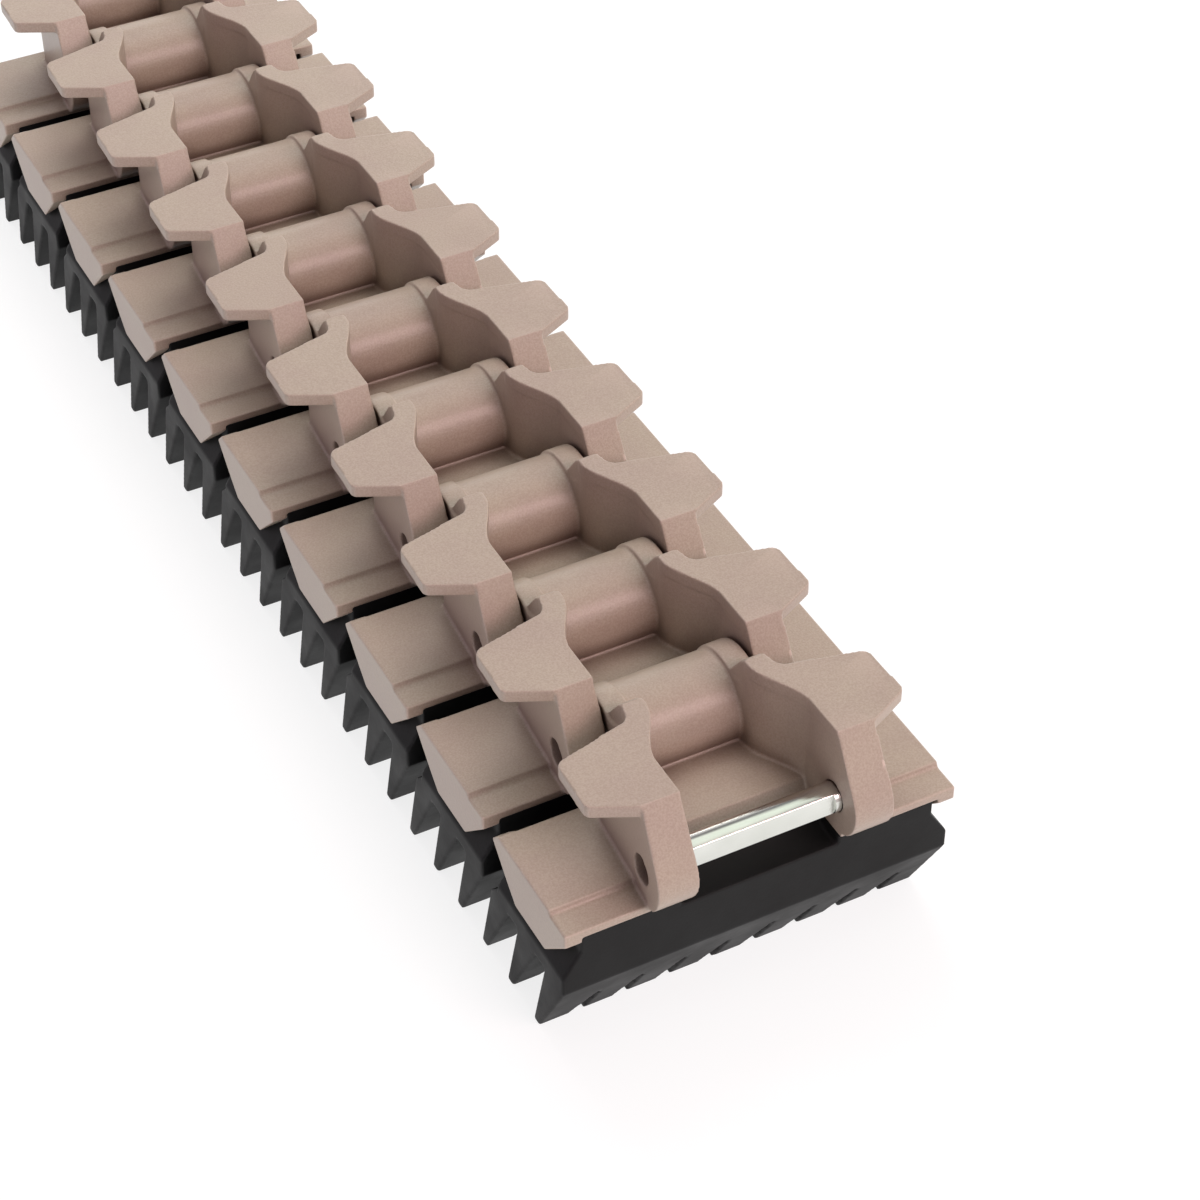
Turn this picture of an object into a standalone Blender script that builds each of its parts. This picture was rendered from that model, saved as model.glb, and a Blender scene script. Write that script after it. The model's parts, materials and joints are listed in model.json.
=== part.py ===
"""A run of track chain: moulded links with horns, each carrying a toothed rubber pad.

Every link is made at its hinge pin's axis and then set in its place along Y. Link 1 is at the front
(-Y), its fork and bare pin facing -Y, and the last link's empty eye is at +Y. The horns point up (+Z)
and the teeth of the pads stand on Z = 0. The origin is the middle of the whole run, on the ground.
"""

import math

import bmesh
import bpy
from mathutils import Matrix, Vector

MM = 0.001
TRACK = "rubber_track"

# Driving dimensions, in millimetres. Each link's own frame has X across, Y back and Z up, from the
# axis of its pin.
LINKS = 10
PITCH = 33.5
GAP = 0.3

HORN_TOP = 16.2
HORN_THICK = 2.8
HORN_REACH = 32.6
HORN_REAR = PITCH - 13.7
FORK_HALF = 16.2
LEG_OUTER = FORK_HALF + 8.4
LEG_OUTER_REAR = FORK_HALF + 6.2
NOSE_R = 7.9
NECK_INNER = FORK_HALF - 5.5
NECK_OUTER = FORK_HALF - 1.2
NECK_REAR = PITCH - 8.9
WALL_CURVE_FRONT = 9.0
WALL_CURVE_END = 1.1
HORN_LIP = 0.15
HORN_FRONT_SWEEP = 5.4
HORN_CORNER = 5.0
HORN_CORNER_CUT = 1.6
HORN_FILLET_R = 3.2
REAR_SLOPE_RUN = 5.0
REAR_SLOPE_DROP = 6.2

WING_HALF = 41.0
WING_FRONT = -3.4
WING_REAR = PITCH - 9.9
WING_TOP = -5.0
STEP_DEPTH = 1.1
STEP_Y = 3.0
WING_UNDER = -8.0
CAP_THICK = 3.5
CAP_LOW = -17.4
CAP_TOE = 8.5
CAP_HEEL = 6.6
CAP_KNEE = 3.2
CAP_KNEE_Z = -14.0
CAP_TAIL = 2.6
FLOOR_FRONT = 9.4
FLOOR_FRONT_TOP = -3.6
FLOOR_REAR_TOP = -4.4
FLOOR_EDGE = 1.6
FLOOR_UNDER_BARREL = 6.0

BARREL_R = 9.4
CHEEK_R = BARREL_R + 0.7
CHEEK_SHIFT_Y = -0.5
CHEEK_SHIFT_Z = 0.3
CHEEK_OUTER = FORK_HALF - 0.7
FORK_CLEARANCE = 1.35

PIVOT_R = 6.5
PIVOT_HALF = CHEEK_OUTER - GAP
PIN_R = 3.05
PIN_HALF = LEG_OUTER - 2.6
PIN_FLAT_DEPTH = 1.15
PIN_FLAT_HALF = FORK_HALF - 2.0
PIVOT_FLARE = 1.1

PAD_FRONT = -2.2
PAD_REAR = PITCH - 8.7
PAD_WIDEST = -19.0
PAD_BASE = -22.8
SHOULDER_DEPTH = 6.0
TOOTH_ROWS = 3
TEETH_ACROSS = 9
TOOTH_HEIGHT = 18.8
TOOTH_LEAN = 10.4
TOOTH_ROOT = 7.6
TOOTH_TIP = 2.3
TOOTH_WIDTH = 6.4
NOTCH_HEIGHT = 13.2
NOTCH_LEAN = 1.6
LAST_TOOTH_INSET = 1.2

# Sides of the round surfaces.
BARREL_SIDES = 16
BORE_SIDES = 12
PIN_SIDES = 12
PIVOT_SIDES = 12
PIN_HOLE_SIDES = 8
NOSE_STEPS = 5
CHEEK_STEPS = 9
WALL_STEPS = 5

# What follows from them.
CHEEK_Y = PITCH + CHEEK_SHIFT_Y
TIP_Z = PAD_BASE - TOOTH_HEIGHT
PIN_HEIGHT = -TIP_Z
TRACK_FRONT = -NOSE_R
TRACK_REAR = (LINKS - 1) * PITCH + CHEEK_Y + CHEEK_R
FIRST_PIN_Y = -(TRACK_FRONT + TRACK_REAR) / 2
NECK_HALF = WING_HALF - CAP_THICK - GAP
OVERLAP = 2.0
BURIED = 0.2
FAR = 60.0

PLASTIC = ("moulded_plastic", (0.47, 0.38, 0.31, 1.0), 0.55, 0.0)
RUBBER = ("black_rubber", (0.03, 0.03, 0.03, 1.0), 0.75, 0.0)
STEEL = ("polished_steel", (0.75, 0.75, 0.74, 1.0), 0.18, 1.0)
PIVOT_PLASTIC = ("pivot_plastic", (0.62, 0.6, 0.55, 1.0), 0.4, 0.0)

# Outlines are drawn flat and then stood up: seen from the side (Y, Z), from above (X, Y) or from the
# front (X, Z).
FROM_SIDE = Matrix(((0, 0, 1, 0), (1, 0, 0, 0), (0, 1, 0, 0), (0, 0, 0, 1)))
FROM_ABOVE = Matrix.Identity(4)
FROM_FRONT = Matrix(((1, 0, 0, 0), (0, 0, -1, 0), (0, 1, 0, 0), (0, 0, 0, 1)))


def clear_scene():
    for obj in list(bpy.data.objects):
        bpy.data.objects.remove(obj, do_unlink=True)


def new_collection(name, hidden=False):
    collection = bpy.data.collections.new(name)
    collection.hide_render = hidden
    bpy.context.scene.collection.children.link(collection)
    return collection


def new_material(name, colour, roughness, metallic):
    material = bpy.data.materials.new(name)
    material.use_nodes = True
    shader = material.node_tree.nodes["Principled BSDF"]
    shader.inputs["Base Color"].default_value = colour
    shader.inputs["Roughness"].default_value = roughness
    shader.inputs["Metallic"].default_value = metallic
    material.diffuse_color = colour
    return material


def arc(centre, radius, start, end, steps):
    """Points on an arc from one angle to another, in degrees, both ends included."""
    turns = [math.radians(start + (end - start) * i / steps) for i in range(steps + 1)]
    return [(centre[0] + radius * math.cos(a), centre[1] + radius * math.sin(a)) for a in turns]


def evaluated_mesh(obj):
    """The object's shape after its modifiers, as a mesh of its own, with loose curve caps welded on."""
    graph = bpy.context.evaluated_depsgraph_get()
    mesh = bpy.data.meshes.new_from_object(obj.evaluated_get(graph))
    mesh.transform(obj.matrix_world)
    work = bmesh.new()
    work.from_mesh(mesh)
    bmesh.ops.remove_doubles(work, verts=work.verts, dist=0.001 * MM)
    bmesh.ops.recalc_face_normals(work, faces=work.faces)
    work.to_mesh(mesh)
    work.free()
    return mesh


def as_helper(name, mesh):
    helper = bpy.data.objects.new(name, mesh)
    helper.hide_render = True
    helper.display_type = "WIRE"
    cutters.objects.link(helper)
    return helper


def extruded(name, outlines, view, low, high):
    """One solid for each outline, all drawn in the same view and as deep as from low to high."""
    curve = bpy.data.curves.new(name, "CURVE")
    curve.dimensions = "2D"
    curve.fill_mode = "BOTH"
    curve.extrude = (high - low) / 2 * MM
    for outline in outlines:
        spline = curve.splines.new("POLY")
        spline.points.add(len(outline) - 1)
        for point, (across, up) in zip(spline.points, outline):
            point.co = (across * MM, up * MM, 0, 1)
        spline.use_cyclic_u = True
    drawn = bpy.data.objects.new(name, curve)
    cutters.objects.link(drawn)
    depth = (low + high) / 2 * (-1 if view == FROM_FRONT else 1)
    drawn.matrix_world = view @ Matrix.Translation((0, 0, depth * MM))
    bpy.context.view_layer.update()
    mesh = evaluated_mesh(drawn)
    bpy.data.objects.remove(drawn)
    bpy.data.curves.remove(curve)
    return as_helper(name, mesh)


def cross_cylinder(name, radius, sides, low, high, y=0.0, z=0.0):
    """A cylinder lying along X, from low to high."""
    work = bmesh.new()
    middle = Matrix.Translation(Vector(((low + high) / 2, y, z)) * MM)
    lie_down = Matrix.Rotation(math.pi / 2, 4, "Y")
    half_side = Matrix.Rotation(math.pi / sides, 4, "Z")
    bmesh.ops.create_cone(
        work,
        cap_ends=True,
        segments=sides,
        radius1=radius * MM,
        radius2=radius * MM,
        depth=(high - low) * MM,
        matrix=middle @ lie_down @ half_side,
    )
    mesh = bpy.data.meshes.new(name)
    work.to_mesh(mesh)
    work.free()
    return as_helper(name, mesh)


def combine(base, operation, others):
    for other in others:
        modifier = base.modifiers.new(other.name, "BOOLEAN")
        modifier.operation = operation
        modifier.object = other
        modifier.solver = "EXACT"


def wall_inner_x(y):
    """The pocket wall's distance from the middle: level at the fork, then an S inwards to the neck."""
    share = (y - WALL_CURVE_FRONT) / (NECK_REAR - WALL_CURVE_END - WALL_CURVE_FRONT)
    share = min(max(share, 0.0), 1.0)
    return FORK_HALF - (FORK_HALF - NECK_INNER) * (3 - 2 * share) * share**2


def wall_inner_points(proud):
    """The pocket wall seen from above, front to rear, standing this far proud of its face."""
    reach = NECK_REAR - WALL_CURVE_END - WALL_CURVE_FRONT
    along = [WALL_CURVE_FRONT + reach * i / WALL_STEPS for i in range(WALL_STEPS + 1)]
    return [(wall_inner_x(y) - proud, y) for y in [0.0] + along + [NECK_REAR]]


def leg_and_wall():
    """One fork leg and the wall behind it: the outline from the side, kept inside the outline from above."""
    lean = math.degrees(math.asin(NOSE_R / HORN_TOP))
    neck_slope_end = NECK_REAR + REAR_SLOPE_RUN
    top = HORN_TOP - HORN_THICK / 2
    low = WING_UNDER + BURIED
    side = arc((0, 0), NOSE_R, 180 - lean, 270, NOSE_STEPS)
    side += [(NOSE_R / 2, low), (neck_slope_end, low), (neck_slope_end, HORN_TOP - REAR_SLOPE_DROP)]
    side += [(NECK_REAR + 1.2, top), (NOSE_R * (HORN_TOP - top) / -HORN_TOP, top)]
    leg = extruded("leg", [side], FROM_SIDE, NECK_INNER / 2, LEG_OUTER + 5)
    inner = wall_inner_points(0.0)
    above = [(FORK_HALF, -NOSE_R - 1)] + inner
    behind = NECK_REAR + REAR_SLOPE_RUN + 1
    above += [(NECK_INNER, behind), (NECK_OUTER, behind)]
    above += [(NECK_OUTER, NECK_REAR - 2.6), (NECK_OUTER + 1.6, HORN_REAR + 0.6)]
    above += [(LEG_OUTER_REAR, HORN_REAR - 0.6), (LEG_OUTER, -NOSE_R - 1)]
    plan = extruded("wall_plan", [above], FROM_ABOVE, -FAR, FAR)
    combine(leg, "INTERSECT", [plan])
    return leg


def horn_top():
    """The flared flat plate on top of a leg."""
    inner = wall_inner_points(HORN_LIP)
    outline = inner + [(NECK_OUTER, NECK_REAR)]
    fillet = (NECK_OUTER + HORN_FILLET_R + 0.4, NECK_REAR - HORN_FILLET_R / 2)
    outline += arc(fillet, HORN_FILLET_R, 185, 260, 2)
    outline += [(HORN_REACH - 1.0, HORN_REAR - HORN_CORNER + HORN_CORNER_CUT)]
    outline += [(HORN_REACH, HORN_REAR - HORN_CORNER), (HORN_REACH, HORN_FRONT_SWEEP)]
    outline += [(LEG_OUTER - 0.2, 0)]
    return extruded("horn_top", [outline], FROM_ABOVE, HORN_TOP - HORN_THICK, HORN_TOP)


def wing():
    """Half of the flat plate, with its step behind the front edge."""
    strip_top = WING_TOP - STEP_DEPTH
    side = [(WING_FRONT, WING_UNDER), (WING_REAR, WING_UNDER), (WING_REAR, WING_TOP)]
    side += [(STEP_Y, WING_TOP), (STEP_Y - 0.5, strip_top), (WING_FRONT, strip_top)]
    return extruded("wing", [side], FROM_SIDE, -OVERLAP, WING_HALF - CAP_THICK / 2)


def end_cap():
    """The deep cheek at a wing's end that reaches down beside the pad and thins out over its shoulder."""
    strip_top = WING_TOP - STEP_DEPTH
    side = [(WING_FRONT, strip_top), (WING_FRONT, WING_UNDER - 1), (WING_FRONT + CAP_TOE, CAP_LOW)]
    side += [(WING_REAR - CAP_HEEL, CAP_LOW), (WING_REAR - CAP_KNEE, CAP_KNEE_Z)]
    side += [(WING_REAR + CAP_TAIL, WING_TOP - CAP_TAIL)]
    side += [(WING_REAR, WING_TOP), (STEP_Y, WING_TOP), (STEP_Y - 0.5, strip_top)]
    cap = extruded("end_cap", [side], FROM_SIDE, NECK_HALF + GAP, WING_HALF)
    shoulder_rise = (PAD_WIDEST + SHOULDER_DEPTH + GAP, PAD_WIDEST + GAP)
    front = [(NECK_HALF, 0), (NECK_HALF + GAP, shoulder_rise[0]), (WING_HALF + GAP, shoulder_rise[1])]
    front += [(WING_HALF + 2, 0)]
    combine(cap, "INTERSECT", [extruded("cap_front", [front], FROM_FRONT, -FAR, FAR)])
    return cap


def pocket_floor():
    """The pocket's floor, from its rounded front edge to just inside the rear barrel."""
    low = WING_UNDER + 2 * BURIED
    front = FLOOR_FRONT - FLOOR_EDGE
    side = [(front, low), (PITCH - FLOOR_UNDER_BARREL, low), (PITCH - BARREL_R + 2, FLOOR_REAR_TOP)]
    side += [(FLOOR_FRONT, FLOOR_FRONT_TOP), (front, FLOOR_FRONT_TOP - FLOOR_EDGE / 2)]
    return extruded("pocket_floor", [side], FROM_SIDE, -OVERLAP / 2, FORK_HALF - 0.4)


def cheek():
    """The ring at one end of the rear barrel, joined forward to the neck."""
    centre = (CHEEK_Y, CHEEK_SHIFT_Z)
    side = arc(centre, CHEEK_R, -95, 118, CHEEK_STEPS)
    low = WING_UNDER + 3 * BURIED
    side += [(NECK_REAR + 0.3, HORN_TOP - 6), (NECK_REAR + 0.3, low), (NECK_REAR + 2, low)]
    return extruded("cheek", [side], FROM_SIDE, NECK_INNER - HORN_LIP, CHEEK_OUTER)


def link_body_mesh():
    """Half of the moulded link, cut for the neighbour's barrel, the pin and the pivot, and mirrored."""
    base = wing()
    barrel_end = NECK_INNER + 0.5
    barrel = cross_cylinder("barrel", BARREL_R, BARREL_SIDES, -1.5 * OVERLAP, barrel_end, y=PITCH)
    combine(base, "UNION", [end_cap(), pocket_floor(), leg_and_wall(), horn_top(), cheek(), barrel])
    sweep_r = BARREL_R + FORK_CLEARANCE
    sweep = cross_cylinder("fork_sweep", sweep_r, BARREL_SIDES, -2 * OVERLAP, FORK_HALF + HORN_LIP)
    pin_hole = cross_cylinder("pin_hole", PIN_R + GAP, PIN_HOLE_SIDES, FORK_HALF - 4, FAR)
    bore_r = PIVOT_R + 1.2 * GAP
    bore = cross_cylinder("eye_bore", bore_r, BORE_SIDES, -2 * OVERLAP, FORK_HALF + 4, y=PITCH)
    combine(base, "DIFFERENCE", [sweep, pin_hole, bore])
    mirror = base.modifiers.new("other_half", "MIRROR")
    mirror.use_bisect_axis[0] = True
    mirror.use_clip = True
    mirror.merge_threshold = 0.00001
    return evaluated_mesh(base)


def tooth_row_outline(row):
    """One row of teeth from the side, leaning back to a flat tip."""
    front = PAD_FRONT + PITCH / TOOTH_ROWS * row
    tip = front + TOOTH_LEAN
    outline = [(front, PAD_BASE), (tip, TIP_Z), (tip + TOOTH_TIP, TIP_Z)]
    return outline + [(front + TOOTH_ROOT, PAD_BASE)]


def notch_outlines():
    """The leaning V-shaped notches that part each row into teeth, from the front."""
    spacing = (2 * WING_HALF - TOOTH_WIDTH - LAST_TOOTH_INSET) / (TEETH_ACROSS - 1)
    drop = 1.0
    outlines = []
    for i in range(TEETH_ACROSS - 1):
        left = -WING_HALF + spacing * i + TOOTH_WIDTH
        right = -WING_HALF + spacing * (i + 1)
        notch = [(left, TIP_Z - drop), (right, TIP_Z - drop), (right, TIP_Z)]
        notch += [(right + NOTCH_LEAN, TIP_Z + NOTCH_HEIGHT), (left, TIP_Z)]
        outlines.append(notch)
    return outlines


def pad_mesh():
    """The rubber pad: a waisted block under the wings, a wide base, and rows of teeth below."""
    top = WING_UNDER - GAP
    shoulder = PAD_WIDEST + SHOULDER_DEPTH
    front = [(NECK_HALF, top), (NECK_HALF, shoulder), (WING_HALF, PAD_WIDEST), (WING_HALF, PAD_BASE)]
    front += [(-across, up) for across, up in reversed(front)]
    pad = extruded("pad_block", [front], FROM_FRONT, PAD_FRONT, PAD_REAR)
    comb = [(PAD_FRONT, PAD_WIDEST - 1.0), (PAD_FRONT, PAD_BASE)]
    for row in range(TOOTH_ROWS):
        comb += tooth_row_outline(row)[0 if row else 1 :]
    comb += [(PAD_REAR, PAD_WIDEST - 1.0)]
    teeth = extruded("tooth_rows", [comb], FROM_SIDE, -WING_HALF, WING_HALF)
    combine(pad, "UNION", [teeth])
    behind = PITCH + TOOTH_LEAN
    notches = extruded("notches", notch_outlines(), FROM_FRONT, PAD_FRONT - 5, behind)
    trough_r = BARREL_R + FORK_CLEARANCE + GAP
    trough = cross_cylinder("trough", trough_r, BARREL_SIDES, -FORK_HALF - GAP, FORK_HALF + GAP)
    combine(pad, "DIFFERENCE", [notches, trough])
    return evaluated_mesh(pad)


def pin_mesh():
    pin = cross_cylinder("pin_bar", PIN_R, PIN_SIDES, -PIN_HALF, PIN_HALF)
    flat = [(-PIN_R - 1, -PIN_R - 1), (-PIN_R + PIN_FLAT_DEPTH, -PIN_R - 1)]
    flat += [(-PIN_R + PIN_FLAT_DEPTH, PIN_R + 1), (-PIN_R - 1, PIN_R + 1)]
    cutter = extruded("pin_flat", [flat], FROM_SIDE, -PIN_FLAT_HALF, PIN_FLAT_HALF)
    combine(pin, "DIFFERENCE", [cutter])
    return evaluated_mesh(pin)


def pivot_mesh():
    """A turned bush: a plain outside, and a bore waisted in the middle so that the pin can swivel in it."""
    bore = PIN_R + GAP
    profile = [(-PIVOT_HALF, bore + PIVOT_FLARE), (-PIVOT_HALF, PIVOT_R), (PIVOT_HALF, PIVOT_R)]
    profile += [(PIVOT_HALF, bore + PIVOT_FLARE), (0, bore)]
    mesh = bpy.data.meshes.new("pivot_profile")
    edges = [(i, (i + 1) % len(profile)) for i in range(len(profile))]
    mesh.from_pydata([(along * MM, 0, radius * MM) for along, radius in profile], edges, [])
    pivot = as_helper("pivot_turned", mesh)
    screw = pivot.modifiers.new("turn", "SCREW")
    screw.axis = "X"
    screw.steps = PIVOT_SIDES
    screw.render_steps = PIVOT_SIDES
    screw.use_merge_vertices = True
    screw.merge_threshold = 0.00001
    bpy.context.view_layer.update()
    return evaluated_mesh(pivot)


def place(name, mesh, material, y, smooth_angle=35):
    """One named piece, with its origin on its own hinge axis."""
    piece = bpy.data.objects.new(name, mesh)
    if not mesh.materials:
        mesh.materials.append(material)
        mesh.shade_smooth()
        mesh.set_sharp_from_angle(angle=math.radians(smooth_angle))
    piece.location = (0, y * MM, PIN_HEIGHT * MM)
    parts.objects.link(piece)


def main():
    looks = (PLASTIC, RUBBER, STEEL, PIVOT_PLASTIC)
    plastic, rubber, steel, pivot_plastic = (new_material(*look) for look in looks)
    body, pad, pin, pivot = link_body_mesh(), pad_mesh(), pin_mesh(), pivot_mesh()
    for i in range(LINKS):
        pin_y = FIRST_PIN_Y + PITCH * i
        link = f"link_{i + 1:02d}"
        place(f"{link}_body", body, plastic, pin_y)
        place(f"{link}_pad", pad, rubber, pin_y)
        place(f"{link}_pin", pin, steel, pin_y)
        place(f"{link}_pivot", pivot, pivot_plastic, pin_y + PITCH)


clear_scene()
parts = new_collection(TRACK)
cutters = new_collection("cutters", hidden=True)
main()
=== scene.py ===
"""The looks of the rubber track chain: rounded moulded links, rubber pads, pins and pivots.

Each kind of piece is modelled once about a pin's axis, in millimetres, and then set on every link of the
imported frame. X is across, Y runs back along the chain and Z is up. The room and its lights are in metres.
"""

import json
import math

import bmesh
import bpy
from mathutils import Matrix, Vector

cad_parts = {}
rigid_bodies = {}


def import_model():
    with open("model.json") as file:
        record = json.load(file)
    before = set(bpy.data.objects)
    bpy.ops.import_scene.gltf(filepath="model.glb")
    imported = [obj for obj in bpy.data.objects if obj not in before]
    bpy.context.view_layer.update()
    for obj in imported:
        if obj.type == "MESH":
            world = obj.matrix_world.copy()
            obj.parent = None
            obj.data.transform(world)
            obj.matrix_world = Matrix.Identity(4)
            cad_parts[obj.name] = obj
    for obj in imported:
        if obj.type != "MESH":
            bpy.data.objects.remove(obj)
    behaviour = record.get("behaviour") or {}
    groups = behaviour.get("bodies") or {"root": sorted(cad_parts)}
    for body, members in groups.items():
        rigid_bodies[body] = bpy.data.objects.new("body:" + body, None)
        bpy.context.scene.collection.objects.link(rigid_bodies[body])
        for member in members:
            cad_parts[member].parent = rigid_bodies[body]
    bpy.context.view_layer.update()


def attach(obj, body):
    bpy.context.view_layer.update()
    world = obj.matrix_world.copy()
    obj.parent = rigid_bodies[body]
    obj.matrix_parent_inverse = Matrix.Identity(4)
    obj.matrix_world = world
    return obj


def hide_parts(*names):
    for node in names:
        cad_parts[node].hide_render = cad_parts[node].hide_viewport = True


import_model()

MM = 0.001

# The sizes are in millimetres, and a link's own frame starts at the axis of its pin. They are the solid
# model's, but for SNUG, FORK_CLEARANCE, PIN_FLAT_HALF, the rounded corners and the floor's hidden ends.
LINKS = 10
PITCH = 33.5
FIRST_PIN_Y = -168.35
PIN_HEIGHT = 41.6
GAP = 0.3
SNUG = 0.05

# The horns, legs, walls and neck
HORN_TOP = 16.2
HORN_THICK = 2.8
HORN_REACH = 32.6
HORN_REAR = 19.8
FORK_HALF = 16.2
LEG_OUTER = 24.6
LEG_OUTER_REAR = 22.4
NOSE_R = 7.9
NECK_INNER = 10.7
NECK_OUTER = 15.0
NECK_REAR = 24.6
WALL_CURVE_FRONT = 9.0
WALL_CURVE_END = 1.1
HORN_LIP = 0.15
REAR_SLOPE_RUN = 5.0
REAR_SLOPE_DROP = 6.2
BROW_LEAD = 0.3
BROW_RUN = 1.4
BROW_DROP = 1.3
LEG_BELOW_TOP = 0.04
LEG_BLANK_INNER = 5
LEG_BLANK_OUTER = 30
NECK_CORNER_BACK = 2.6
LEG_CORNER_OUT = 1.6
LEG_CORNER_HALF = 0.6
HORN_TIP_OUT = 0.2
HORN_TIP_FRONT = 4.2
HORN_HEEL_IN = 0.1
HORN_HEEL_BACK = 3.3
NECK_FILLET_OUT = 3.6
NECK_FILLET_BACK = 1.6
HORN_FILLET_R = 3.2
NECK_FILLET_ARC = (185, 260)
NECK_INNER_CORNER_R = 0.9
NECK_OUTER_CORNER_R = 0.6
HORN_HEEL_R = 2.2
HORN_TIP_R = 1.7

# The wings, end caps and pocket floor
WING_HALF = 41.0
WING_FRONT = -3.4
WING_REAR = 23.6
WING_TOP = -5.0
STEP_DEPTH = 1.1
STEP_Y = 3.0
STEP_RUN = 0.5
WING_UNDER = -8.0
CAP_THICK = 3.5
CAP_LOW = -17.4
CAP_BROW = 1
CAP_TOE = 8.5
CAP_HEEL = 6.6
CAP_KNEE = 3.2
CAP_KNEE_Z = -14.0
CAP_TAIL = 2.6
FLOOR_FRONT = 9.4
FLOOR_FRONT_TOP = -3.6
FLOOR_REAR_TOP = -4.4
FLOOR_EDGE = 1.6
FLOOR_EDGE_DROP = 0.8
FLOOR_START = 9.0
FLOOR_UNDER_BARREL = 6.0
FLOOR_INTO_BARREL = 2
FLOOR_INTO_WALL = 1.3
FLOOR_SHY_OF_NECK = 1
FLOOR_NARROWS_FROM = 16
FLOOR_NARROWS_TO = 19

# The rear barrel and the space it turns in
BARREL_R = 9.4
CHEEK_R = 10.1
CHEEK_SHIFT_Y = -0.5
CHEEK_SHIFT_Z = 0.3
CHEEK_OUTER = 15.5
CHEEK_ARC = (-95, 118)
CHEEK_ROOT = 0.3
CHEEK_BELOW_TOP = 6
CHEEK_FOOT = 2
BARREL_INTO_CHEEK = 0.5
EYE_GAP = 1.2 * GAP
BORE_LEAD = 4
FORK_CLEARANCE = 1.3

# The turned pieces
PIVOT_R = 6.5
PIVOT_HALF = 15.2
PIVOT_FLARE = 1.1
PIVOT_MOUTH = 0.3
PIVOT_CHAMFER = 0.6
PIVOT_BEVEL = 0.15
PIN_R = 3.05
PIN_HALF = 22.0
PIN_FLAT_DEPTH = 1.15
PIN_FLAT_HALF = 15.0
PIN_CHAMFER = 0.5
PIN_BEVEL = 0.22
BEVEL_FROM_DEGREES = 25
SHARP_FROM_DEGREES = 40

# The pad
PAD_FRONT = -2.2
PAD_REAR = 24.8
PAD_WIDEST = -19.0
PAD_BASE = -22.8
SHOULDER_DEPTH = 6.0
TOOTH_ROWS = 3
TEETH_ACROSS = 9
TOOTH_HEIGHT = 18.8
TOOTH_LEAN = 10.4
TOOTH_ROOT = 7.6
TOOTH_TIP = 2.3
TOOTH_WIDTH = 6.4
NOTCH_HEIGHT = 13.2
NOTCH_LEAN = 1.6
LAST_TOOTH_INSET = 1.2
COMB_INTO_PAD = 1.0
NOTCH_LEAD = 5

# How finely the shapes are cut up
BODY_VOXEL = 0.3
BODY_ROUNDS = 3
BODY_TRIANGLES = 26000
PAD_VOXEL = 0.42
PAD_ROUNDS = 4
PAD_TRIANGLES = 16000
BARREL_SIDES = 64
PIN_HOLE_SIDES = 32
EYE_SIDES = 48
TURNED_STEPS = 64
WALL_STEPS = 40
NOSE_STEPS = 24
CHEEK_STEPS = 40
FILLET_STEPS = 10
MERGE = 0.00001

# Colours
PIECE_SHIFT = (0.37, 0.91, 0.53)
WHITE = (1.0, 1.0, 1.0)
PLASTIC_COLOURS = ((0.392, 0.318, 0.257), (0.41, 0.344, 0.271))
PLASTIC_FLECK = ((0.91, 0.89, 0.88), (1.05, 1.05, 1.06))
# Painted shade: the colour that the plastic is darkened towards in hollows, creases and corners.
PLASTIC_PAINTED_SHADE = (0.29, 0.222, 0.2)
# Painted highlight: the lighter colour that sharp convex edges are mixed towards, as if their rounds caught
# the light.
EDGE_HIGHLIGHT = (0.56, 0.45, 0.38)
RUBBER_COLOURS = ((0.0045, 0.0048, 0.0048), (0.0075, 0.0079, 0.0079))
STEEL_COLOURS = ((0.7, 0.72, 0.67), (0.77, 0.785, 0.74))
# Painted shade: the colour that the steel is darkened towards where other surfaces stand close, as inside
# the pin's holes.
STEEL_PAINTED_SHADE = (0.12, 0.08, 0.08)
PIVOT_COLOURS = ((0.55, 0.52, 0.46), (0.64, 0.61, 0.55))

# The room, in metres. A stop's place runs from 0 at the bottom, left or front to 1 at the opposite side.
ROOM_STRENGTH = 0.6
FLOOR_HALF = 6.0
FLOOR_GREY = 0.22
FLOOR_GLOW = 0.82
BACKDROP_R = 5.9
BACKDROP_HEIGHT = 8.0
BACKDROP_MIDDLE = 3.9
BACKDROP_SIDES = 64
BACKDROP_GREY = 0.98
ROOM_BY_HEIGHT = [
    (0.0, WHITE),
    (0.6, WHITE),
    (0.76, WHITE),
    (0.82, (0.3, 0.3, 0.31)),
    (0.89, (0.3, 0.3, 0.31)),
    (0.94, (1.25, 1.3, 1.2)),
]
ROOM_BY_SIDE = [(0.0, (0.7, 0.52, 0.7)), (0.5, WHITE), (1.0, (1.9, 2.0, 1.95))]
ROOM_BY_LENGTH = [(0.0, (1.08, 0.94, 0.96)), (0.5, WHITE), (1.0, (1.15, 1.06, 1.08))]

# The camera, in millimetres
CAMERA_LENS = 89.7
CAMERA_PLACE = (-200.39, -493.37, 430.85)
CAMERA_FORWARD = (0.34568, 0.66685, -0.66016)
CAMERA_RIGHT = (0.88661, -0.46251, -0.00294)

CHEEK_Y = PITCH + CHEEK_SHIFT_Y
TIP_Z = PAD_BASE - TOOTH_HEIGHT
PAD_NECK_HALF = WING_HALF - CAP_THICK - GAP
STRIP_TOP = WING_TOP - STEP_DEPTH

# Half solids run past the middle plane by shares or multiples of this, so that no two ends are level.
OVERLAP = 2.0
# Solids that are joined reach into each other by a multiple of this, so that no two faces lie together.
BURIED = 0.2
# How far a cutter goes past the face it cuts, and how far one goes that cuts right through.
PAST = 1
FAR = 60.0

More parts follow.
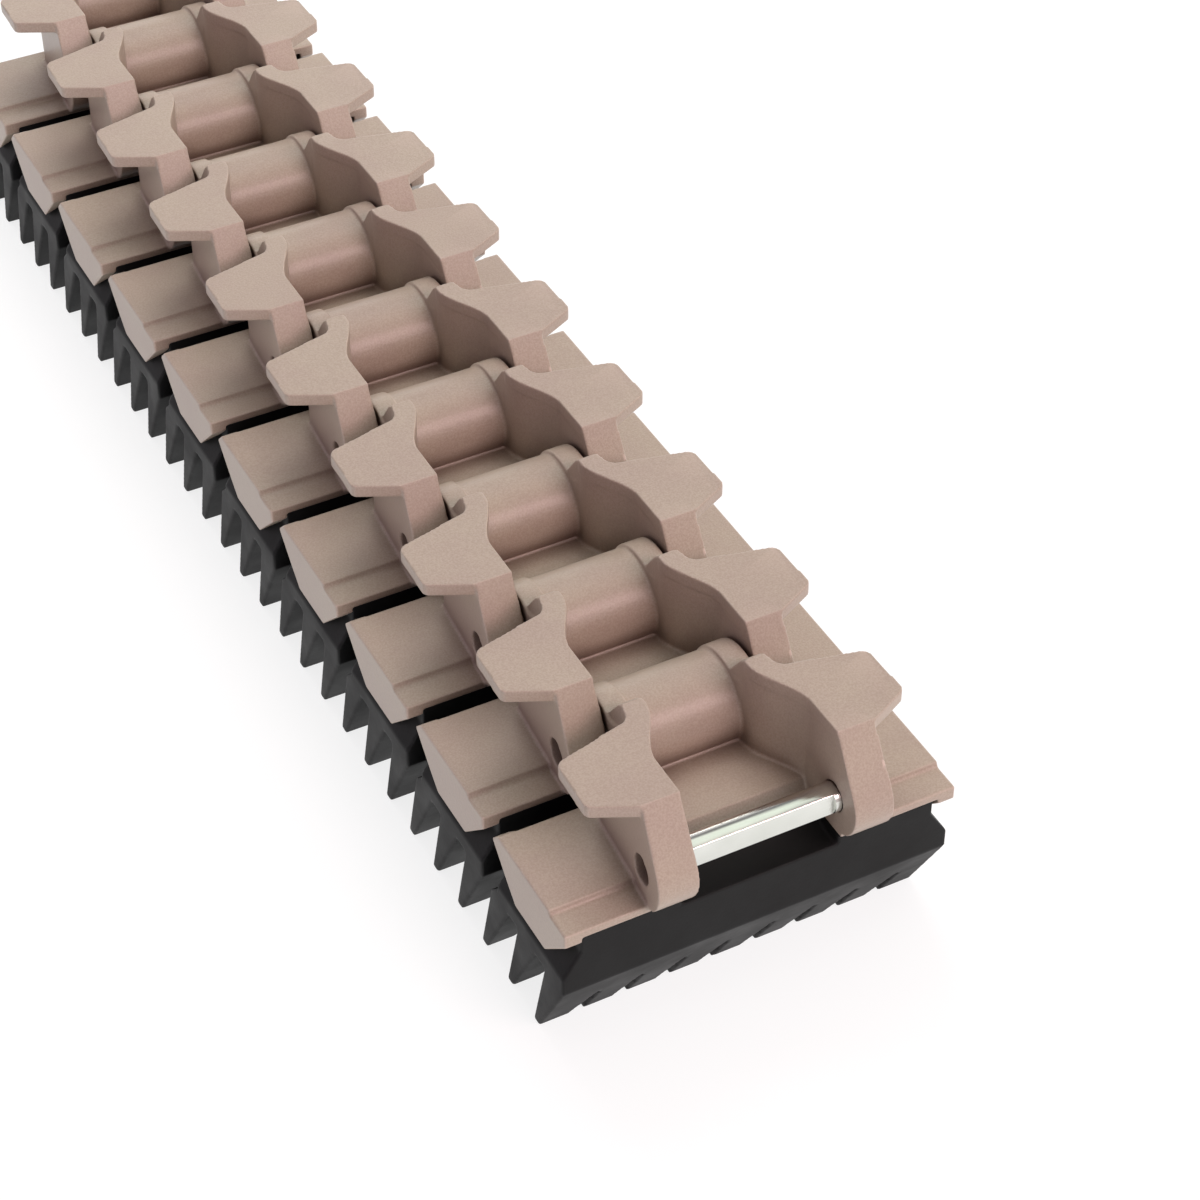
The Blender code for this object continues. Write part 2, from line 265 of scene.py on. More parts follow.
FROM_SIDE = Matrix(((0, 0, 1, 0), (1, 0, 0, 0), (0, 1, 0, 0), (0, 0, 0, 1)))
FROM_ABOVE = Matrix.Identity(4)
FROM_FRONT = Matrix(((1, 0, 0, 0), (0, 0, -1, 0), (0, 1, 0, 0), (0, 0, 0, 1)))

helpers = bpy.data.collections.new("helpers")
bpy.context.scene.collection.children.link(helpers)


# Drawing solids


def arc(centre, radius, start, end, steps):
    """Points along an arc, with its start and end in degrees."""
    turns = [math.radians(start + (end - start) * i / steps) for i in range(steps + 1)]
    return [(centre[0] + radius * math.cos(a), centre[1] + radius * math.sin(a)) for a in turns]


def evaluated_mesh(obj, weld=0.001):
    """A new mesh of the object with its modifiers applied, its points welded if they lie this close."""
    graph = bpy.context.evaluated_depsgraph_get()
    mesh = bpy.data.meshes.new_from_object(obj.evaluated_get(graph))
    mesh.transform(obj.matrix_world)
    if weld:
        work = bmesh.new()
        work.from_mesh(mesh)
        bmesh.ops.remove_doubles(work, verts=work.verts, dist=weld * MM)
        bmesh.ops.recalc_face_normals(work, faces=work.faces)
        work.to_mesh(mesh)
        work.free()
    return mesh


def as_helper(name, mesh):
    helper = bpy.data.objects.new(name, mesh)
    helpers.objects.link(helper)
    return helper


def extruded(name, outlines, view, low, high):
    """One solid for each outline, all drawn in the same view and as deep as from low to high."""
    curve = bpy.data.curves.new(name, "CURVE")
    curve.dimensions = "2D"
    curve.fill_mode = "BOTH"
    curve.extrude = (high - low) / 2 * MM
    for outline in outlines:
        spline = curve.splines.new("POLY")
        spline.points.add(len(outline) - 1)
        for point, (across, up) in zip(spline.points, outline):
            point.co = (across * MM, up * MM, 0, 1)
        spline.use_cyclic_u = True
    drawn = bpy.data.objects.new(name, curve)
    helpers.objects.link(drawn)
    depth = (low + high) / 2 * (-1 if view == FROM_FRONT else 1)
    drawn.matrix_world = view @ Matrix.Translation((0, 0, depth * MM))
    bpy.context.view_layer.update()
    mesh = evaluated_mesh(drawn)
    bpy.data.objects.remove(drawn)
    bpy.data.curves.remove(curve)
    return as_helper(name, mesh)


def cross_cylinder(name, radius, sides, low, high, y=0.0, z=0.0):
    """A cylinder lying along X, from low to high."""
    work = bmesh.new()
    middle = Matrix.Translation(Vector(((low + high) / 2, y, z)) * MM)
    bmesh.ops.create_cone(
        work,
        cap_ends=True,
        segments=sides,
        radius1=radius * MM,
        radius2=radius * MM,
        depth=(high - low) * MM,
        matrix=middle @ Matrix.Rotation(math.pi / 2, 4, "Y"),
    )
    mesh = bpy.data.meshes.new(name)
    work.to_mesh(mesh)
    work.free()
    return as_helper(name, mesh)


def combine(base, operation, others):
    for other in others:
        modifier = base.modifiers.new(other.name, "BOOLEAN")
        modifier.operation = operation
        modifier.object = other
        modifier.solver = "EXACT"


def moulded(name, base, voxel, rounds, triangles):
    """The solid as it comes from a mould: every edge and inner corner rounded, then thinned out."""
    solid = as_helper(name, evaluated_mesh(base))
    remesh = solid.modifiers.new("remesh", "REMESH")
    remesh.mode = "VOXEL"
    remesh.voxel_size = voxel * MM
    remesh.use_smooth_shade = True
    smooth = solid.modifiers.new("round_over", "SMOOTH")
    smooth.factor = 0.5
    smooth.iterations = rounds
    fine = as_helper(name + "_fine", evaluated_mesh(solid, weld=0))
    count = sum(len(p.vertices) - 2 for p in fine.data.polygons)
    thin = fine.modifiers.new("thin_out", "DECIMATE")
    thin.ratio = min(1.0, triangles / count)
    flatten = fine.modifiers.new("flatten", "WEIGHTED_NORMAL")
    flatten.weight = 80
    return evaluated_mesh(fine, weld=0)


# The moulded link


def wall_inner_x(y):
    """The pocket wall's distance from the middle: level at the fork, then an S inwards to the neck."""
    share = (y - WALL_CURVE_FRONT) / (NECK_REAR - WALL_CURVE_END - WALL_CURVE_FRONT)
    share = min(max(share, 0.0), 1.0)
    return FORK_HALF - (FORK_HALF - NECK_INNER) * (3 - 2 * share) * share**2


def wall_inner_points(proud):
    """The pocket wall seen from above, front to rear, standing this far proud of its face."""
    along = [NECK_REAR * i / WALL_STEPS for i in range(WALL_STEPS + 1)]
    return [(wall_inner_x(y) - proud, y) for y in along]


def leg_and_wall():
    """One fork leg and the wall behind it: the side's outline, kept inside the outline from above."""
    lean = math.degrees(math.asin(NOSE_R / HORN_TOP))
    top = HORN_TOP - LEG_BELOW_TOP
    low = WING_UNDER + BURIED
    slope_end = NECK_REAR + REAR_SLOPE_RUN
    side = arc((0, 0), NOSE_R, 180 - lean, 270, NOSE_STEPS)
    side += [(NOSE_R / 2, low), (slope_end, low), (slope_end, HORN_TOP - REAR_SLOPE_DROP)]
    side += [(NECK_REAR + BROW_RUN, HORN_TOP - BROW_DROP), (NECK_REAR - BROW_LEAD, top), (0, top)]
    leg = extruded("leg", [side], FROM_SIDE, LEG_BLANK_INNER, LEG_BLANK_OUTER)
    above = [(FORK_HALF, -NOSE_R - PAST)] + wall_inner_points(0.0)
    above += [(NECK_INNER, slope_end + PAST), (NECK_OUTER, slope_end + PAST)]
    above += [(NECK_OUTER, NECK_REAR - NECK_CORNER_BACK)]
    above += [(NECK_OUTER + LEG_CORNER_OUT, HORN_REAR + LEG_CORNER_HALF)]
    above += [(LEG_OUTER_REAR, HORN_REAR - LEG_CORNER_HALF), (LEG_OUTER, -NOSE_R - PAST)]
    plan = extruded("wall_plan", [above], FROM_ABOVE, -FAR, FAR)
    combine(leg, "INTERSECT", [plan])
    return leg


def rounded(corner, before, after, radius, steps=6):
    """An outline's corner, replaced by an arc of this radius."""
    to_before = (Vector(before) - Vector(corner)).normalized()
    to_after = (Vector(after) - Vector(corner)).normalized()
    half = to_before.angle(to_after) / 2
    start = Vector(corner) + to_before * radius / math.tan(half)
    end = Vector(corner) + to_after * radius / math.tan(half)
    middle = Vector(corner) + (to_before + to_after).normalized() * radius / math.sin(half)
    points = []
    for i in range(steps + 1):
        spoke = (start - middle).lerp(end - middle, i / steps).normalized() * radius
        points.append(tuple(middle + spoke))
    return points


def horn_top():
    """The flared flat plate on top of a leg."""
    root = (LEG_OUTER - BURIED, 0)
    tip = (HORN_REACH + HORN_TIP_OUT, HORN_TIP_FRONT)
    heel = (HORN_REACH - HORN_HEEL_IN, HORN_REAR - HORN_HEEL_BACK)
    neck_inner = (NECK_INNER - HORN_LIP, NECK_REAR)
    neck_outer = (NECK_OUTER, NECK_REAR)
    fillet_middle = (NECK_OUTER + NECK_FILLET_OUT, NECK_REAR - NECK_FILLET_BACK)
    fillet = arc(fillet_middle, HORN_FILLET_R, *NECK_FILLET_ARC, FILLET_STEPS)
    outline = wall_inner_points(HORN_LIP)[:-1]
    outline += rounded(neck_inner, outline[-1], neck_outer, NECK_INNER_CORNER_R)
    outline += rounded(neck_outer, (NECK_INNER, NECK_REAR), fillet[0], NECK_OUTER_CORNER_R)
    outline += fillet
    outline += rounded(heel, fillet[-1], tip, HORN_HEEL_R)
    outline += rounded(tip, heel, root, HORN_TIP_R)
    outline += [root]
    return extruded("horn_top", [outline], FROM_ABOVE, HORN_TOP - HORN_THICK, HORN_TOP)


def wing():
    """Half of the flat plate, with its step behind the front edge."""
    side = [(WING_FRONT, WING_UNDER), (WING_REAR, WING_UNDER), (WING_REAR, WING_TOP)]
    side += [(STEP_Y, WING_TOP), (STEP_Y - STEP_RUN, STRIP_TOP), (WING_FRONT, STRIP_TOP)]
    return extruded("wing", [side], FROM_SIDE, -OVERLAP, WING_HALF - CAP_THICK / 2)


def end_cap():
    """The deep cheek at a wing's end that reaches down beside the pad and thins out over its shoulder."""
    side = [(WING_FRONT, STRIP_TOP), (WING_FRONT, WING_UNDER - CAP_BROW)]
    side += [(WING_FRONT + CAP_TOE, CAP_LOW), (WING_REAR - CAP_HEEL, CAP_LOW)]
    side += [(WING_REAR - CAP_KNEE, CAP_KNEE_Z), (WING_REAR + CAP_TAIL, WING_TOP - CAP_TAIL)]
    side += [(WING_REAR, WING_TOP), (STEP_Y, WING_TOP), (STEP_Y - STEP_RUN, STRIP_TOP)]
    cap = extruded("end_cap", [side], FROM_SIDE, PAD_NECK_HALF + GAP, WING_HALF)
    inner_low = PAD_WIDEST + SHOULDER_DEPTH + GAP
    outer_low = PAD_WIDEST + GAP
    front = [(PAD_NECK_HALF, 0), (PAD_NECK_HALF + GAP, inner_low)]
    front += [(WING_HALF + GAP, outer_low), (WING_HALF + 2 * PAST, 0)]
    combine(cap, "INTERSECT", [extruded("cap_front", [front], FROM_FRONT, -FAR, FAR)])
    return cap


def pocket_floor():
    """Half of the pocket's floor. It ends inside the walls and inside the barrel."""
    low = WING_UNDER + 2 * BURIED
    side = [(FLOOR_START, low), (PITCH - FLOOR_UNDER_BARREL, low)]
    side += [(PITCH - BARREL_R + FLOOR_INTO_BARREL, FLOOR_REAR_TOP), (FLOOR_FRONT, FLOOR_FRONT_TOP)]
    side += [(FLOOR_FRONT - FLOOR_EDGE, FLOOR_FRONT_TOP - FLOOR_EDGE_DROP)]
    wide = FORK_HALF + FLOOR_INTO_WALL
    narrow = NECK_OUTER - FLOOR_SHY_OF_NECK
    floor = extruded("pocket_floor", [side], FROM_SIDE, -OVERLAP / 2, wide)
    inside_walls = [(-OVERLAP, 0), (wide, 0), (wide, FLOOR_NARROWS_FROM), (narrow, FLOOR_NARROWS_TO)]
    inside_walls += [(narrow, PITCH), (-OVERLAP, PITCH)]
    combine(floor, "INTERSECT", [extruded("floor_plan", [inside_walls], FROM_ABOVE, -FAR, FAR)])
    return floor


def cheek():
    """The ring at one end of the rear barrel, joined forward to the neck."""
    side = arc((CHEEK_Y, CHEEK_SHIFT_Z), CHEEK_R, *CHEEK_ARC, CHEEK_STEPS)
    low = WING_UNDER + 3 * BURIED
    root = NECK_REAR + CHEEK_ROOT
    side += [(root, HORN_TOP - CHEEK_BELOW_TOP), (root, low), (NECK_REAR + CHEEK_FOOT, low)]
    return extruded("cheek", [side], FROM_SIDE, NECK_INNER - HORN_LIP, CHEEK_OUTER)


def link_body_mesh():
    """Half a link, joined and bored, then mirrored and moulded."""
    base = wing()
    barrel_end = NECK_INNER + BARREL_INTO_CHEEK
    barrel = cross_cylinder("barrel", BARREL_R, BARREL_SIDES, -1.5 * OVERLAP, barrel_end, y=PITCH)
    combine(base, "UNION", [end_cap(), pocket_floor(), leg_and_wall(), horn_top(), cheek(), barrel])
    sweep_r = BARREL_R + FORK_CLEARANCE
    sweep = cross_cylinder("fork_sweep", sweep_r, BARREL_SIDES, -2 * OVERLAP, FORK_HALF)
    pin_hole = cross_cylinder("pin_hole", PIN_R + SNUG, PIN_HOLE_SIDES, FORK_HALF - BORE_LEAD, FAR)
    bore_r = PIVOT_R + EYE_GAP
    bore_end = FORK_HALF + BORE_LEAD
    bore = cross_cylinder("eye_bore", bore_r, EYE_SIDES, -2 * OVERLAP, bore_end, y=PITCH)
    combine(base, "DIFFERENCE", [sweep, pin_hole, bore])
    mirror = base.modifiers.new("other_half", "MIRROR")
    mirror.use_bisect_axis[0] = True
    mirror.use_clip = True
    mirror.merge_threshold = MERGE
    return moulded("link", base, BODY_VOXEL, BODY_ROUNDS, BODY_TRIANGLES)


# The rubber pad


def tooth_row_outline(row):
    """One row of teeth from the side, leaning back."""
    front = PAD_FRONT + PITCH / TOOTH_ROWS * row
    tip = front + TOOTH_LEAN
    outline = [(front, PAD_BASE), (tip, TIP_Z), (tip + TOOTH_TIP, TIP_Z)]
    return outline + [(front + TOOTH_ROOT, PAD_BASE)]


def notch_outlines():
    """The leaning V-shaped notches that part each row into teeth, from the front."""
    spacing = (2 * WING_HALF - TOOTH_WIDTH - LAST_TOOTH_INSET) / (TEETH_ACROSS - 1)
    below = TIP_Z - PAST
    outlines = []
    for i in range(TEETH_ACROSS - 1):
        left = -WING_HALF + spacing * i + TOOTH_WIDTH
        right = -WING_HALF + spacing * (i + 1)
        notch = [(left, below), (right, below), (right, TIP_Z)]
        notch += [(right + NOTCH_LEAN, TIP_Z + NOTCH_HEIGHT), (left, TIP_Z)]
        outlines.append(notch)
    return outlines


def pad_mesh():
    """The block under the wings with its rows of teeth, parted by the notches."""
    top = WING_UNDER - GAP
    front = [(PAD_NECK_HALF, top), (PAD_NECK_HALF, PAD_WIDEST + SHOULDER_DEPTH)]
    front += [(WING_HALF, PAD_WIDEST), (WING_HALF, PAD_BASE)]
    front += [(-across, up) for across, up in reversed(front)]
    pad = extruded("pad_block", [front], FROM_FRONT, PAD_FRONT, PAD_REAR)
    comb_top = PAD_WIDEST - COMB_INTO_PAD
    comb = [(PAD_FRONT, comb_top), (PAD_FRONT, PAD_BASE)]
    for row in range(TOOTH_ROWS):
        comb += tooth_row_outline(row)[0 if row else 1 :]
    comb += [(PAD_REAR, comb_top)]
    combine(pad, "UNION", [extruded("tooth_rows", [comb], FROM_SIDE, -WING_HALF, WING_HALF)])
    behind = PITCH + TOOTH_LEAN
    notches = extruded("notches", notch_outlines(), FROM_FRONT, PAD_FRONT - NOTCH_LEAD, behind)
    trough_r = BARREL_R + FORK_CLEARANCE + GAP
    trough = cross_cylinder("trough", trough_r, BARREL_SIDES, -FORK_HALF - GAP, FORK_HALF + GAP)
    combine(pad, "DIFFERENCE", [notches, trough])
    return moulded("pad", pad, PAD_VOXEL, PAD_ROUNDS, PAD_TRIANGLES)


# The turned pieces


def turned(name, profile):
    """A profile of (place along X, radius) points turned about X. It closes on itself."""
    mesh = bpy.data.meshes.new(name)
    edges = [(i, (i + 1) % len(profile)) for i in range(len(profile))]
    mesh.from_pydata([(along * MM, 0, radius * MM) for along, radius in profile], edges, [])
    piece = as_helper(name, mesh)
    screw = piece.modifiers.new("turn", "SCREW")
    screw.axis = "X"
    screw.steps = TURNED_STEPS
    screw.render_steps = TURNED_STEPS
    screw.use_merge_vertices = True
    screw.merge_threshold = MERGE
    bpy.context.view_layer.update()
    return piece


def pin_mesh():
    """The hinge pin: a chamfered bar with a flat milled along the front of its middle."""
    edge = PIN_CHAMFER
    profile = [(-PIN_HALF, 0), (-PIN_HALF, PIN_R - edge), (-PIN_HALF + edge, PIN_R)]
    profile += [(PIN_HALF - edge, PIN_R), (PIN_HALF, PIN_R - edge), (PIN_HALF, 0)]
    pin = turned("pin_bar", profile)
    flat_y = -PIN_R + PIN_FLAT_DEPTH
    clear = PIN_R + PAST
    flat = [(-clear, -clear), (flat_y, -clear), (flat_y, clear), (-clear, clear)]
    cutter = extruded("pin_flat", [flat], FROM_SIDE, -PIN_FLAT_HALF, PIN_FLAT_HALF)
    whole = as_helper("pin_whole", evaluated_mesh(pin))
    combine(whole, "DIFFERENCE", [cutter])
    mesh = evaluated_mesh(whole)
    soften(mesh, PIN_BEVEL)
    return mesh


def pivot_mesh():
    """The bush in the rear eye, its bore narrowest in the middle."""
    bore = PIN_R + GAP
    flare = bore + PIVOT_FLARE
    mouth = bore + PIVOT_FLARE + PIVOT_MOUTH
    edge = PIVOT_CHAMFER
    end = PIVOT_HALF
    profile = [(-end, mouth), (-end, PIVOT_R - edge), (-end + edge, PIVOT_R)]
    profile += [(end - edge, PIVOT_R), (end, PIVOT_R - edge), (end, mouth)]
    profile += [(end - edge, flare), (0, bore), (-end + edge, flare)]
    mesh = evaluated_mesh(turned("pivot_bush", profile))
    soften(mesh, PIVOT_BEVEL)
    return mesh


def soften(mesh, width):
    """Bevels every sharp edge, and shades the rest smooth."""
    work = bmesh.new()
    work.from_mesh(mesh)
    limit = math.radians(BEVEL_FROM_DEGREES)
    sharp = [e for e in work.edges if len(e.link_faces) == 2 and e.calc_face_angle() > limit]
    bmesh.ops.bevel(
        work,
        geom=sharp,
        offset=width * MM,
        segments=2,
        profile=0.5,
        affect="EDGES",
        clamp_overlap=True,
    )
    work.to_mesh(mesh)
    work.free()
    mesh.shade_smooth()
    mesh.set_sharp_from_angle(angle=math.radians(SHARP_FROM_DEGREES))


# Materials


class Nodes:
    """A short way to write the node tree of a material or of the world."""

    def __init__(self, name=None, world=None):
        self.material = world or bpy.data.materials.new(name)
        self.material.use_nodes = True
        self.tree = self.material.node_tree
        self.shader = self.tree.nodes["Background" if world else "Principled BSDF"]

    def add(self, kind, inputs=None, **settings):
        node = self.tree.nodes.new(kind)
        for key, value in settings.items():
            setattr(node, key, value)
        for key, value in (inputs or {}).items():
            if isinstance(value, bpy.types.NodeSocket):
                self.tree.links.new(value, node.inputs[key])
            else:
                node.inputs[key].default_value = value
        return node

    def place(self):
        """Where a point is on its own piece, moved by an amount that differs from piece to piece."""
        coords = self.add("ShaderNodeTexCoord").outputs["Object"]
        random = self.add("ShaderNodeObjectInfo").outputs["Random"]
        shift = self.add("ShaderNodeVectorMath", {0: PIECE_SHIFT}, operation="SCALE")
        self.tree.links.new(random, shift.inputs["Scale"])
        moved = self.add("ShaderNodeVectorMath", {0: coords, 1: shift.outputs[0]}, operation="ADD")
        return moved.outputs[0]

    def noise(self, at, scale, detail=4.0, roughness=0.55):
        inputs = {"Vector": at, "Scale": scale, "Detail": detail, "Roughness": roughness}
        return self.add("ShaderNodeTexNoise", inputs).outputs["Fac"]

    def ramp(self, value, stops):
        stops = list(stops)
        node = self.add("ShaderNodeValToRGB", {"Fac": value})
        ramp = node.color_ramp
        while len(ramp.elements) < len(stops):
            ramp.elements.new(0.5)
        for element, (position, colour) in zip(ramp.elements, stops):
            element.position = position
            element.color = (*colour, 1.0)
        return node.outputs["Color"]

    def mix(self, amount, first, second, blend="MIX"):
        node = self.add("ShaderNodeMix", data_type="RGBA", blend_type=blend)
        for name, kind, value in (("Factor", "VALUE", amount), ("A", "RGBA", first), ("B", "RGBA", second)):
            socket = next(s for s in node.inputs if s.name == name and s.type == kind)
            if isinstance(value, bpy.types.NodeSocket):
                self.tree.links.new(value, socket)
            else:
                socket.default_value = value if kind == "VALUE" else (*value, 1.0)
        return next(s for s in node.outputs if s.type == "RGBA")

    def with_painted_shade(self, colour, reach, dark):
        """The colour with painted shade: darkened towards the dark colour where other surfaces stand close
        around a point.
        """
        open_sky = self.add("ShaderNodeAmbientOcclusion", {"Distance": reach}, samples=8)
        amount = self.span(open_sky.outputs["AO"], low=0.15, high=0.75)
        shade = self.mix(amount, dark, WHITE)
        return self.mix(1.0, colour, shade, blend="MULTIPLY")

    def span(self, value, low, high, to_low=0.0, to_high=1.0):
        """The value's range from low to high, stretched to another range and held inside it."""
        inputs = {"Value": value, "From Min": low, "From Max": high, "To Min": to_low, "To Max": to_high}
        return self.add("ShaderNodeMapRange", inputs).outputs[0]

    def link(self, output, socket):
        self.tree.links.new(output, self.shader.inputs[socket])

    def set(self, socket, value):
        self.shader.inputs[socket].default_value = value

    def bump(self, height, strength, distance, below=None):
        inputs = {"Height": height, "Strength": strength, "Distance": distance}
        if below is not None:
            inputs["Normal"] = below
        return self.add("ShaderNodeBump", inputs).outputs["Normal"]


def plastic_material():
    n = Nodes("moulded_plastic_look")
    at = n.place()
    cloud = n.noise(at, scale=55.0, detail=3.0)
    grain = n.noise(at, scale=2600.0, detail=3.0, roughness=0.6)
    pebbles = n.add("ShaderNodeTexVoronoi", {"Vector": at, "Scale": 1300.0}, feature="SMOOTH_F1")
    base = n.ramp(cloud, zip((0.35, 0.65), PLASTIC_COLOURS))
    fleck = n.ramp(grain, zip((0.38, 0.62), PLASTIC_FLECK))
    colour = n.mix(1.0, base, fleck, blend="MULTIPLY")
    # Painted highlight: sharp convex edges are lightened by their pointiness, as if their rounds caught the
    # light.
    edge_highlight_mask = n.add("ShaderNodeNewGeometry").outputs["Pointiness"]
    colour = n.mix(n.span(edge_highlight_mask, low=0.525, high=0.6), colour, EDGE_HIGHLIGHT)
    # Painted shade: the plastic's colour is darkened in hollows, creases and corners, where other surfaces
    # stand close.
    n.link(n.with_painted_shade(colour, 0.009, PLASTIC_PAINTED_SHADE), "Base Color")
    n.link(n.span(grain, low=0.3, high=0.7, to_low=0.3, to_high=0.42), "Roughness")
    pebbled = n.bump(pebbles.outputs["Distance"], strength=0.25, distance=0.0001)
    n.link(n.bump(grain, strength=0.22, distance=0.0002, below=pebbled), "Normal")
    n.set("Specular IOR Level", 0.5)
    return n.material


def rubber_material():
    n = Nodes("black_rubber_look")
    at = n.place()
    cloud = n.noise(at, scale=90.0)
    grain = n.noise(at, scale=1500.0, detail=2.0, roughness=0.6)
    n.link(n.ramp(cloud, zip((0.3, 0.7), RUBBER_COLOURS)), "Base Color")
    n.link(n.span(cloud, low=0.3, high=0.7, to_low=0.5, to_high=0.66), "Roughness")
    n.link(n.bump(grain, strength=0.25, distance=0.0001), "Normal")
    n.set("Specular IOR Level", 0.22)
    return n.material


def steel_material():
    n = Nodes("polished_steel_look")
    at = n.place()
    drawn = n.add("ShaderNodeMapping", {"Vector": at, "Scale": (0.06, 1.0, 1.0)}).outputs[0]
    lines = n.noise(drawn, scale=2500.0, detail=3.0)
    cloud = n.noise(at, scale=120.0, detail=2.0)
    colour = n.ramp(cloud, zip((0.3, 0.7), STEEL_COLOURS))
    # Painted shade: the steel's colour is darkened where other surfaces stand close, such as inside the
    # pin's holes.
    n.link(n.with_painted_shade(colour, 0.004, STEEL_PAINTED_SHADE), "Base Color")
    n.link(n.span(lines, low=0.3, high=0.7, to_low=0.12, to_high=0.24), "Roughness")
    n.link(n.bump(lines, strength=0.04, distance=0.00005), "Normal")
    n.set("Metallic", 1.0)
    return n.material


def pivot_material():
    n = Nodes("pivot_plastic_look")
    at = n.place()
    cloud = n.noise(at, scale=150.0)
    n.link(n.ramp(cloud, zip((0.3, 0.7), PIVOT_COLOURS)), "Base Color")
    n.link(n.span(cloud, low=0.3, high=0.7, to_low=0.35, to_high=0.5), "Roughness")
    n.link(n.bump(n.noise(at, scale=1200.0), strength=0.15, distance=0.0001), "Normal")
    return n.material


# Setting the pieces on the links


def set_piece(kind, mesh, link, body, y):
    piece = bpy.data.objects.new(f"{link}_{kind}_look", mesh)
    bpy.context.scene.collection.objects.link(piece)
    piece.location = Vector((0, y, PIN_HEIGHT)) * MM
    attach(piece, body)
    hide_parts(f"{link}_{kind}")


def dress_links():
    looks = {
        "body": (link_body_mesh(), plastic_material(), "moulded_plastic"),
        "pad": (pad_mesh(), rubber_material(), "black_rubber"),
        "pin": (pin_mesh(), steel_material(), "polished_steel"),
        "pivot": (pivot_mesh(), pivot_material(), "pivot_plastic"),
    }
    for mesh, material, _ in looks.values():
        mesh.materials.clear()
        mesh.materials.append(material)
    for i in range(LINKS):
        link = f"link_{i + 1:02d}"
        pin_y = FIRST_PIN_Y + PITCH * i
        for kind, (mesh, _, slot) in looks.items():
            in_rear_eye = kind == "pivot"
            body = f"pivot_{i + 1:02d}" if in_rear_eye else link
            set_piece(kind, mesh, link, body, pin_y + PITCH if in_rear_eye else pin_y)


def clear_helpers():
    for obj in list(helpers.objects):
        bpy.data.objects.remove(obj, do_unlink=True)
    bpy.data.collections.remove(helpers)


# Floor, light and camera


def floor():
    """A pale floor that glows, so that the room's shadows on it stay faint."""
    mesh = bpy.data.meshes.new("floor")
    half = FLOOR_HALF
    corners = [(-half, -half, 0), (half, -half, 0), (half, half, 0), (-half, half, 0)]
    mesh.from_pydata(corners, [], [(0, 1, 2, 3)])
    plane = bpy.data.objects.new("floor", mesh)
    bpy.context.scene.collection.objects.link(plane)
    n = Nodes("pale_floor")
    n.set("Base Color", (FLOOR_GREY, FLOOR_GREY, FLOOR_GREY, 1))
    n.set("Roughness", 0.9)
    n.set("Emission Color", (1, 1, 1, 1))
    n.set("Emission Strength", FLOOR_GLOW)
    n.set("Specular IOR Level", 0.1)
    mesh.materials.append(n.material)


def backdrop():
    """A pale wall round the floor that only the camera sees. It keeps the room's tints out of view."""
    work = bmesh.new()
    bmesh.ops.create_cone(
        work,
        segments=BACKDROP_SIDES,
        radius1=BACKDROP_R,
        radius2=BACKDROP_R,
        depth=BACKDROP_HEIGHT,
        matrix=Matrix.Translation((0, 0, BACKDROP_MIDDLE)),
    )
    mesh = bpy.data.meshes.new("backdrop")
    work.to_mesh(mesh)
    work.free()
    wall = bpy.data.objects.new("backdrop", mesh)
    bpy.context.scene.collection.objects.link(wall)
    wall.visible_diffuse = wall.visible_glossy = False
    wall.visible_transmission = wall.visible_shadow = False
    n = Nodes("pale_wall")
    n.set("Base Color", (0.0, 0.0, 0.0, 1))
    n.set("Specular IOR Level", 0.0)
    n.set("Emission Color", (BACKDROP_GREY, BACKDROP_GREY, BACKDROP_GREY, 1))
    n.set("Emission Strength", 1.0)
    mesh.materials.append(n.material)


def area_light(name, place, aim, size, power, colour):
    data = bpy.data.lights.new(name, "AREA")
    data.shape = "RECTANGLE"
    data.size, data.size_y = size
    data.energy = power
    data.color = colour
    light = bpy.data.objects.new(name, data)
    light.location = place
    light.rotation_euler = (Vector(aim) - Vector(place)).to_track_quat("-Z", "Y").to_euler()
    bpy.context.scene.collection.objects.link(light)
    return light


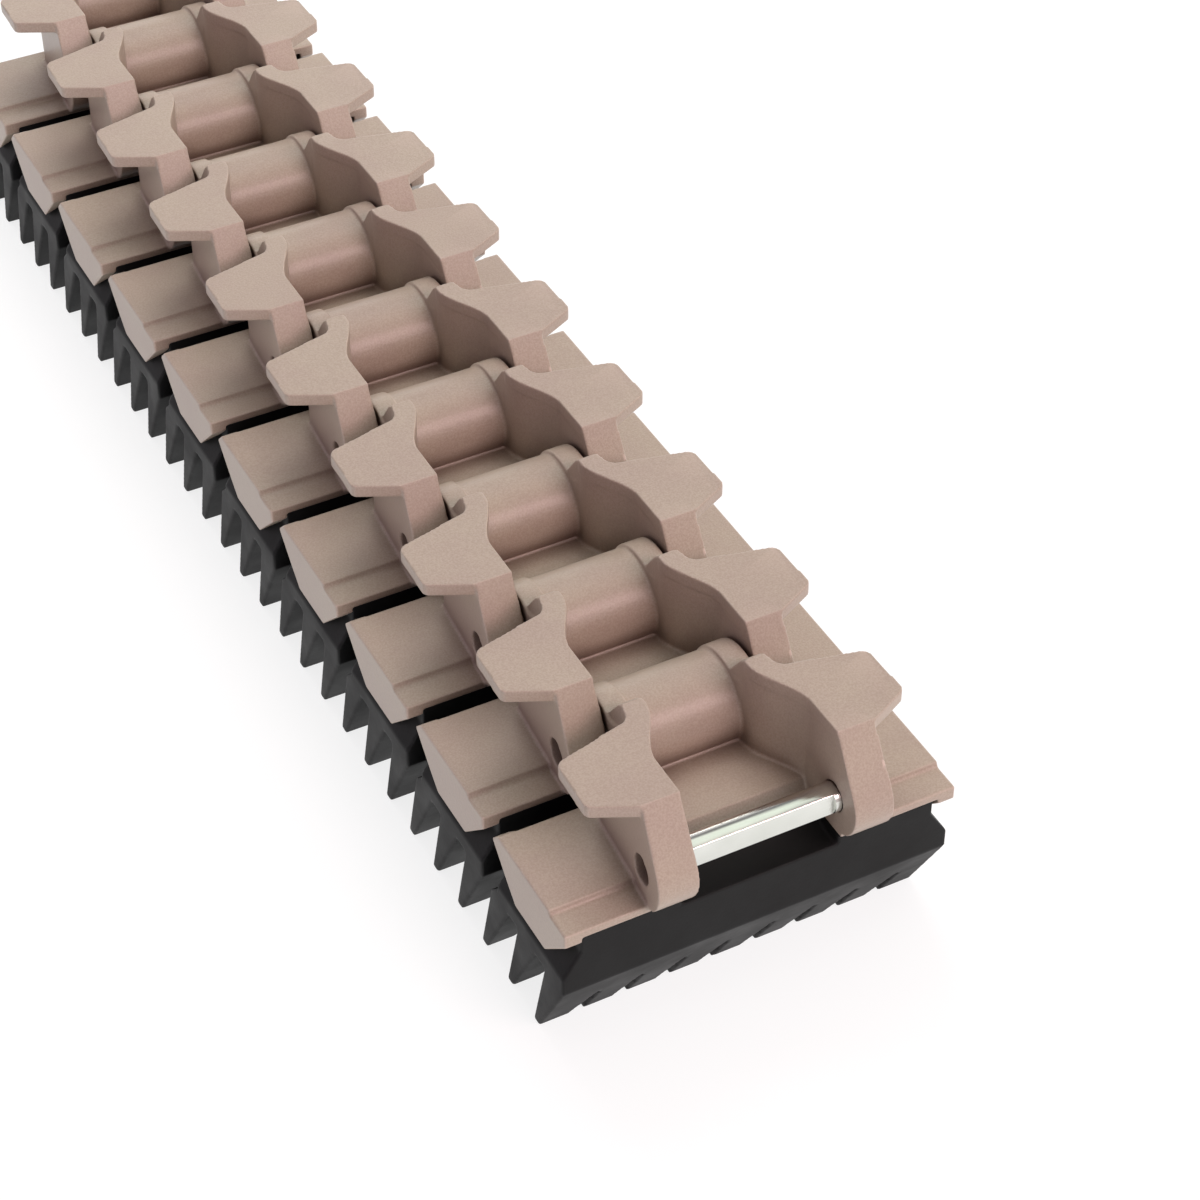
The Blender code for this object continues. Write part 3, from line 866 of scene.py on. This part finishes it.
def studio():
    """A white room with a dim band high up, mauve on the left and bright on the right, and four lamps."""
    world = bpy.data.worlds.new("studio")
    bpy.context.scene.world = world
    n = Nodes(world=world)
    direction = n.add("ShaderNodeTexCoord").outputs["Generated"]
    split = n.add("ShaderNodeSeparateXYZ", {"Vector": direction}).outputs
    height = n.ramp(n.span(split["Z"], -1.0, 1.0), ROOM_BY_HEIGHT)
    sideways = n.ramp(n.span(split["X"], -1.0, 1.0), ROOM_BY_SIDE)
    lengthways = n.ramp(n.span(split["Y"], -1.0, 1.0), ROOM_BY_LENGTH)
    colour = n.mix(1.0, height, sideways, blend="MULTIPLY")
    n.link(n.mix(1.0, colour, lengthways, blend="MULTIPLY"), "Color")
    n.set("Strength", ROOM_STRENGTH)
    area_light(
        "ceiling", place=(0.1, 0.0, 1.8), aim=(0, 0, 0), size=(1.4, 1.4), power=1.0, colour=(0.96, 1.0, 0.92)
    )
    far_lamp = area_light(
        "far_lamp", place=(0.1, 0.4, 0.75), aim=(0, 0.1, 0), size=(0.5, 0.5), power=3.3, colour=WHITE
    )
    far_lamp.visible_glossy = False
    streak = area_light(
        "streak", place=(0.6, 1.5, 0.55), aim=(0, 0, 0), size=(1.6, 0.1), power=2.0, colour=(1.0, 0.98, 0.96)
    )
    streak.visible_diffuse = False
    area_light(
        "front", place=(0.5, -1.4, 1.1), aim=(0, 0, 0), size=(1.0, 0.5), power=15, colour=(1.0, 0.7, 0.72)
    )
    bpy.context.scene.view_settings.view_transform = "Standard"


def camera():
    """The camera, placed and turned as the photograph's was."""
    data = bpy.data.cameras.new("camera")
    data.sensor_width = 36.0
    data.lens = CAMERA_LENS
    data.clip_start = 0.01
    eye = bpy.data.objects.new("camera", data)
    forward = Vector(CAMERA_FORWARD).normalized()
    right = Vector(CAMERA_RIGHT).normalized()
    up = right.cross(forward)
    turn = Matrix((right, up, -forward)).transposed().to_4x4()
    eye.matrix_world = Matrix.Translation(Vector(CAMERA_PLACE) * MM) @ turn
    bpy.context.scene.collection.objects.link(eye)
    bpy.context.scene.camera = eye


dress_links()
clear_helpers()
floor()
backdrop()
studio()
camera()
